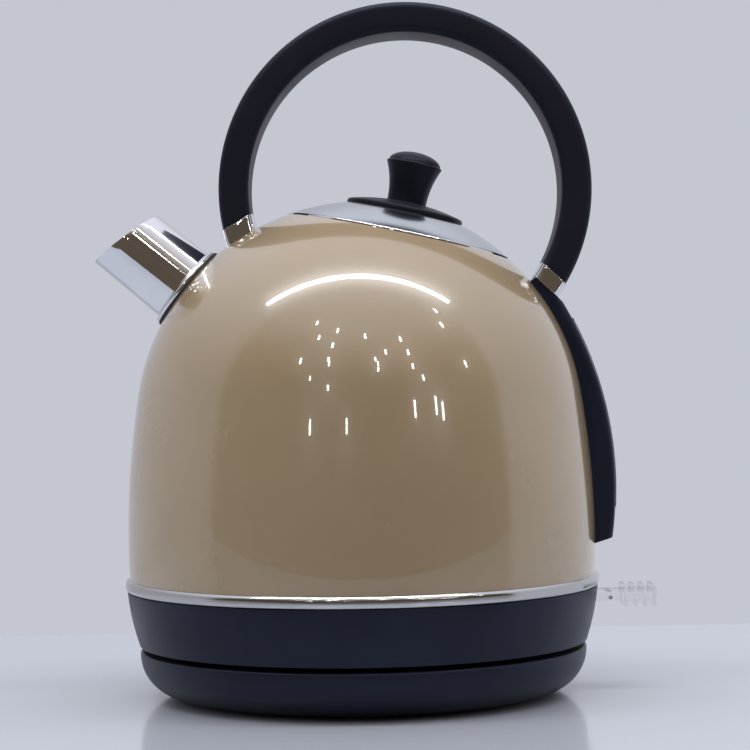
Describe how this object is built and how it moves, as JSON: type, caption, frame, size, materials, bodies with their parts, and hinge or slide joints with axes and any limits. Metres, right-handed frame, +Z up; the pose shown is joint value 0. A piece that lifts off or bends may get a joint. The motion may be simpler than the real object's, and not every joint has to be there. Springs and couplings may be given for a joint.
{
  "type": "electric kettle",
  "caption": "Cordless electric kettle: domed beige steel jug with chrome spout, black loop handle over a lift-off steel lid, clear switch lever, round black power base.",
  "frame": {"origin": "on the kettle's vertical axis, in the plane that the base's feet rest on", "axes": "+Z up, +X towards the back strip and switch lever, -X towards the spout, +Y away from the side that faces a viewer with the spout on the left"},
  "size_m": [0.2032, 0.1732, 0.2515],
  "materials": {
    "black_plastic": "satin black moulded plastic",
    "black_grip": "matt black grip",
    "beige_enamel": "gloss beige paint",
    "chrome": "polished chrome",
    "polished_steel": "polished steel",
    "plain_steel": "plain steel",
    "aluminium": "cast aluminium",
    "brass": "bright brass",
    "rubber": "grey-black rubber",
    "silicone": "translucent grey silicone",
    "clear_plastic": "clear polycarbonate",
    "control_plastic": "cream thermoset",
    "wire": "red insulation",
    "lamp_lens": "amber lens"
  },
  "bodies": {
    "base": {"base_housing": "black_plastic", "base_plate": "black_plastic", "base_socket": "black_plastic", "socket_contacts": "brass", "rubber_feet": "rubber", "base_screws": "plain_steel", "cord_gland": "rubber"},
    "connector": {"plug_body": "black_plastic", "plug_contacts": "brass"},
    "jug": {"body_shell": "beige_enamel", "mouth_ring": "plain_steel", "spout": "chrome", "spout_flange": "chrome", "spout_filter": "plain_steel", "trim_ring": "chrome", "foot_skirt": "black_plastic", "bottom_cover": "black_plastic", "cover_screws": "plain_steel", "jug_floor": "plain_steel", "heat_spreader": "aluminium", "heating_element": "aluminium", "control_unit": "control_plastic", "steam_tube": "plain_steel", "steam_switch": "black_plastic", "bimetal_disc": "brass", "switch_leads": "wire", "indicator_lamp": "lamp_lens", "switch_bracket": "black_plastic", "switch_pin": "plain_steel", "back_strip": "black_plastic", "water_window": "clear_plastic", "window_seal": "silicone", "handle_loop": "black_grip", "front_collar": "chrome", "back_collar": "chrome", "handle_brackets": "plain_steel", "handle_screws": "plain_steel"},
    "lever": {"switch_lever": "clear_plastic"},
    "lid": {"lid_shell": "polished_steel", "lid_rim": "chrome", "lid_pan": "plain_steel", "lid_seal": "silicone", "knob_disc": "black_grip", "lid_knob": "black_grip", "knob_screw": "plain_steel"}
  },
  "joints": [
    {"name": "jug_lift", "type": "slide", "parent": "base", "child": "connector", "axis": [0, 0, 1], "range_m": [0, 0.1]},
    {"name": "jug_turn", "type": "hinge", "parent": "connector", "child": "jug", "pos_m": [0, 0, 0.03], "axis": [0, 0, 1], "continuous": true},
    {"name": "lid_lift", "type": "slide", "parent": "jug", "child": "lid", "axis": [0.2181, 0, 0.9759], "range_m": [0, 0.032]},
    {"name": "lever_hinge", "type": "hinge", "parent": "jug", "child": "lever", "pos_m": [0.0745, 0, 0.0344], "axis": [0, 1, 0], "range_deg": [0, 13]}
  ]
}
